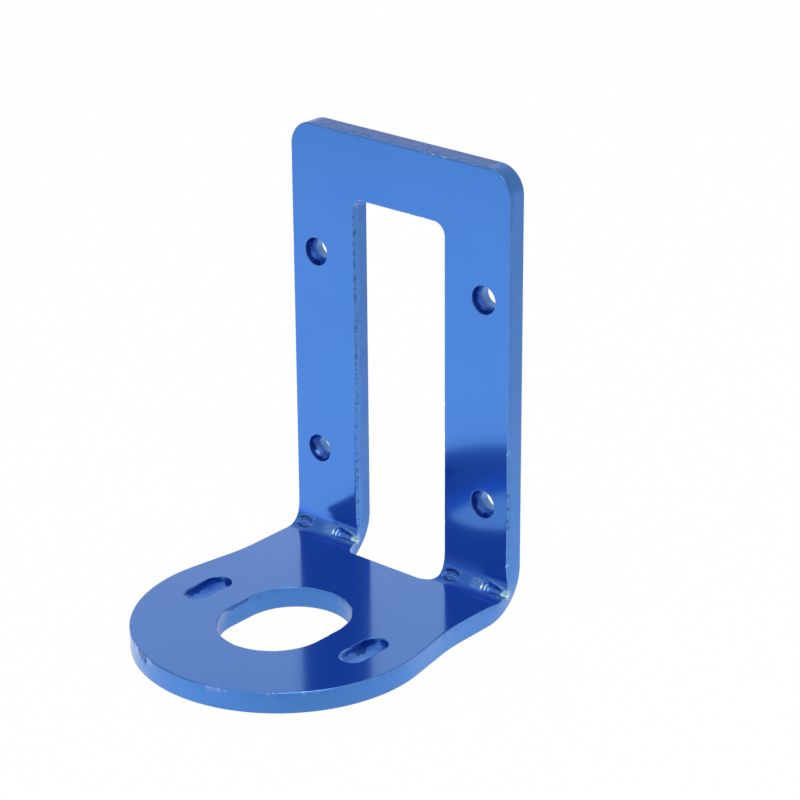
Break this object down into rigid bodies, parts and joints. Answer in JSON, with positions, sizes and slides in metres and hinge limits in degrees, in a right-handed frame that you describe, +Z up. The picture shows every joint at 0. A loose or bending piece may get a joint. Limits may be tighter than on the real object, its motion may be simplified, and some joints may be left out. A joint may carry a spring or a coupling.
{
  "type": "motor mounting bracket",
  "caption": "Right-angle bracket folded from thick blue aluminium sheet: a windowed upright with fixing holes and a round seat with a boss opening and screw slots.",
  "frame": {"origin": "centre of the four fixing holes, on the back face of the upright", "axes": "+X along the fold, +Y out of the back face of the upright, +Z up the upright; the base reaches towards -Y"},
  "size_m": [0.0364, 0.042, 0.056],
  "materials": {
    "blue_anodised": "gloss anodised, rough sheared edges"
  },
  "bodies": {
    "root": {"bracket": "blue_anodised"}
  },
  "joints": []
}
